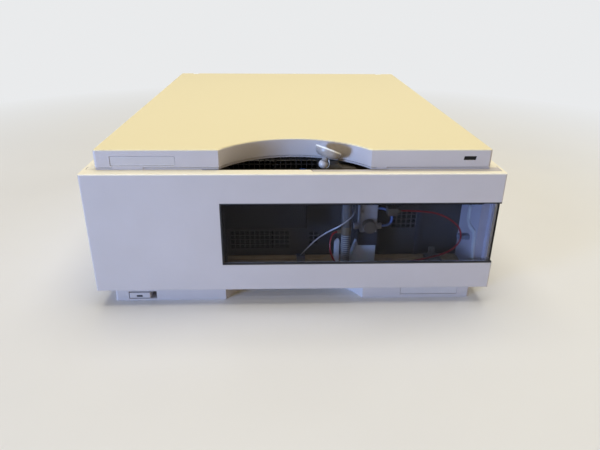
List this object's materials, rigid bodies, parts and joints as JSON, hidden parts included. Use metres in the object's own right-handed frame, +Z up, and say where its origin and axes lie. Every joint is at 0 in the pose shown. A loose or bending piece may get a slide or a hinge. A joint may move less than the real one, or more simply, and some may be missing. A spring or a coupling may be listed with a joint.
{
  "type": "diode array detector",
  "caption": "Low wide bench instrument case with a lift-off windowed front, optics and flow cell inside, leak funnel and drain, and rear sockets and fan.",
  "frame": {"origin": "centre of the footprint, on the bench", "axes": "+X to the right of someone facing the front, +Y towards the back, +Z up"},
  "size_m": [0.345, 0.435, 0.1408],
  "materials": {
    "case_plastic": "fine-textured moulded ABS",
    "white_clip": "glossy moulded acetal",
    "label_plate": "satin polyester plate",
    "smoked_acrylic": "tinted cast acrylic, polished",
    "black_rubber": "black rubber",
    "dark_sheet": "dark painted sheet",
    "zinc_sheet": "zinc-plated sheet",
    "clear_plastic": "clear moulded polycarbonate or tube",
    "black_plastic": "black moulded plastic",
    "blue_plastic": "blue moulded plastic",
    "tan_plastic": "tan moulded plastic",
    "hose_grey": "grey corrugated polyethylene",
    "beige_block": "coated machined aluminium",
    "bare_aluminium": "cast and machined aluminium",
    "optical_glass": "fused silica and coated glass",
    "ceramic": "ceramic package",
    "circuit_board": "glass-epoxy board",
    "connector_shell": "plated shells",
    "packing_foam": "expanded polypropylene bead foam",
    "red_tube": "red polymer capillary",
    "blue_tube": "blue polymer tube",
    "steel_tube": "drawn stainless capillary"
  },
  "bodies": {
    "root": {"base_housing": "case_plastic", "side_panel_left": "case_plastic", "side_panel_right": "case_plastic", "top_cover": "case_plastic", "front_rail": "case_plastic", "top_cover_clips": "white_clip", "leak_funnel": "white_clip", "drain_block": "white_clip", "name_plate": "label_plate", "serial_plate": "label_plate", "optical_dampers": "black_rubber", "front_wall": "dark_sheet", "compartment_hood": "dark_sheet", "lamp_cover": "dark_sheet", "cell_base": "dark_sheet", "cabinet_tray": "zinc_sheet", "cabinet_lid": "zinc_sheet", "leak_pan": "zinc_sheet", "drain_riser": "clear_plastic", "status_light_pipe": "black_plastic", "fan_frame": "black_plastic", "power_inlet": "black_plastic", "lamp_cover_knob": "blue_plastic", "funnel_holder": "tan_plastic", "drain_coupling": "tan_plastic", "drain_hose": "hose_grey", "tube_clips": "hose_grey", "leak_sensor": "hose_grey", "cell_holder": "beige_block", "capillary_union": "beige_block", "lamp_housing": "bare_aluminium", "optical_base": "bare_aluminium", "optical_lid": "bare_aluminium", "source_lens": "bare_aluminium", "slit_plate": "bare_aluminium", "filter_motor": "bare_aluminium", "power_supply": "bare_aluminium", "flow_cell": "optical_glass", "grating": "optical_glass", "deuterium_lamp": "optical_glass", "tungsten_lamp": "optical_glass", "diode_array": "ceramic", "main_board": "circuit_board", "array_board": "circuit_board", "rear_connectors": "connector_shell", "foam_block": "packing_foam", "outlet_capillary": "red_tube", "blue_capillary": "blue_tube", "steel_capillary": "steel_tube"},
    "front_cover": {"front_cover": "case_plastic", "front_window": "smoked_acrylic", "window_seal": "black_rubber"},
    "release_right": {"release_button_right": "case_plastic"},
    "release_left": {"release_button_left": "case_plastic"},
    "power_key": {"power_button": "case_plastic", "power_light_pipe": "clear_plastic"},
    "rotor": {"fan_rotor": "black_plastic"},
    "flag": {"filter_flag": "bare_aluminium"},
    "screw": {"cell_screw": "beige_block"},
    "lever": {"safety_lever": "zinc_sheet"}
  },
  "joints": [
    {"name": "front_cover_slide", "type": "slide", "parent": "root", "child": "front_cover", "axis": [0, -1, 0], "range_m": [0, 0.12]},
    {"name": "release_right_press", "type": "slide", "parent": "front_cover", "child": "release_right", "axis": [-1, 0, 0], "range_m": [0, 0.0025], "stiffness_N_per_m": 600, "springref_m": -0.001},
    {"name": "release_left_press", "type": "slide", "parent": "front_cover", "child": "release_left", "axis": [1, 0, 0], "range_m": [0, 0.0025], "stiffness_N_per_m": 600, "springref_m": -0.001},
    {"name": "power_press", "type": "slide", "parent": "root", "child": "power_key", "axis": [0, 1, 0], "range_m": [0, 0.003], "stiffness_N_per_m": 600, "springref_m": -0.001},
    {"name": "fan_spin", "type": "hinge", "parent": "root", "child": "rotor", "pos_m": [-0.017, 0.19, 0.0665], "axis": [0, 1, 0], "continuous": true},
    {"name": "flag_swing", "type": "hinge", "parent": "root", "child": "flag", "pos_m": [0.0312, -0.0895, 0.05], "axis": [1, 0, 0], "range_deg": [0, 40]},
    {"name": "cell_screw_turn", "type": "hinge", "parent": "root", "child": "screw", "pos_m": [0.0691, -0.18, 0.0602], "axis": [0, 1, 0], "continuous": true},
    {"name": "safety_lever_slide", "type": "slide", "parent": "root", "child": "lever", "axis": [-1, 0, 0], "range_m": [0, 0.008]}
  ]
}
